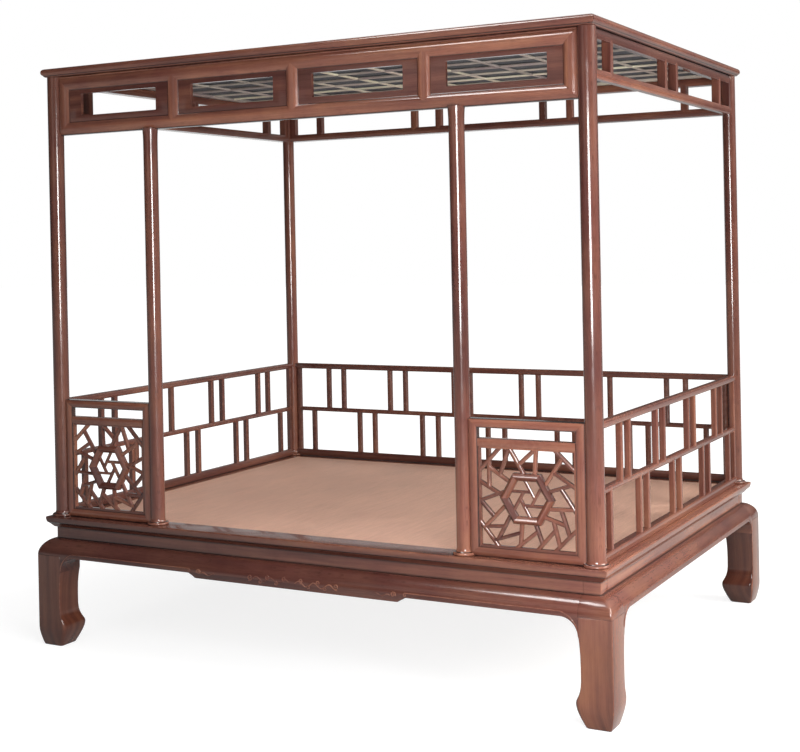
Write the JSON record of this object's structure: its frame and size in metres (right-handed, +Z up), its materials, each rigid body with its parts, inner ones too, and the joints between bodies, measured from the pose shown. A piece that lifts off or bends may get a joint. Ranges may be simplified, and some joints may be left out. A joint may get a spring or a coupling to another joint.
{
  "type": "canopy bed",
  "caption": "Canopy bed in dark hardwood: hoof-footed base, woven mat, open railings round the sides and back, cracked-ice front panels, friezes and a covered canopy on turned posts.",
  "frame": {"origin": "on the floor, under the middle of the bed", "axes": "+X to the right along the front, +Y from the front to the back, +Z up"},
  "size_m": [2.36, 1.828, 2.252],
  "materials": {
    "dark_wood": "polished lacquer",
    "pale_wood": "bare, matt",
    "woven_cane": "fine weave, matt",
    "indigo_cloth": "plain weave, matt"
  },
  "bodies": {
    "root": {"leg_front_left": "dark_wood", "leg_front_right": "dark_wood", "leg_back_left": "dark_wood", "leg_back_right": "dark_wood", "apron_front": "dark_wood", "apron_back": "dark_wood", "apron_left": "dark_wood", "apron_right": "dark_wood", "waist_front": "dark_wood", "waist_back": "dark_wood", "waist_left": "dark_wood", "waist_right": "dark_wood", "seat_rail_front": "dark_wood", "seat_rail_back": "dark_wood", "seat_rail_left": "dark_wood", "seat_rail_right": "dark_wood", "mat_brace_left": "dark_wood", "mat_brace_right": "dark_wood", "woven_mat": "woven_cane", "post_front_left": "dark_wood", "post_front_right": "dark_wood", "post_back_left": "dark_wood", "post_back_right": "dark_wood", "post_inner_left": "dark_wood", "post_inner_right": "dark_wood", "railing_left_stile_a": "dark_wood", "railing_left_stile_b": "dark_wood", "railing_left_top": "dark_wood", "railing_left_bottom": "dark_wood", "railing_left_lattice": "dark_wood", "railing_back_stile_a": "dark_wood", "railing_back_stile_b": "dark_wood", "railing_back_top": "dark_wood", "railing_back_bottom": "dark_wood", "railing_back_lattice": "dark_wood", "railing_right_stile_a": "dark_wood", "railing_right_stile_b": "dark_wood", "railing_right_top": "dark_wood", "railing_right_bottom": "dark_wood", "railing_right_lattice": "dark_wood", "panel_left_frame": "dark_wood", "panel_left_ice": "dark_wood", "panel_left_hexagon": "dark_wood", "panel_right_frame": "dark_wood", "panel_right_ice": "dark_wood", "panel_right_hexagon": "dark_wood", "frieze_front_frame": "dark_wood", "frieze_inset_1": "dark_wood", "frieze_inset_2": "dark_wood", "frieze_inset_3": "dark_wood", "frieze_inset_4": "dark_wood", "frieze_left": "dark_wood", "frieze_back": "dark_wood", "frieze_right": "dark_wood", "cornice_front": "dark_wood", "cornice_back": "dark_wood", "cornice_left": "dark_wood", "cornice_right": "dark_wood", "ceiling_lattice": "pale_wood", "dust_cloth": "indigo_cloth"}
  },
  "joints": []
}
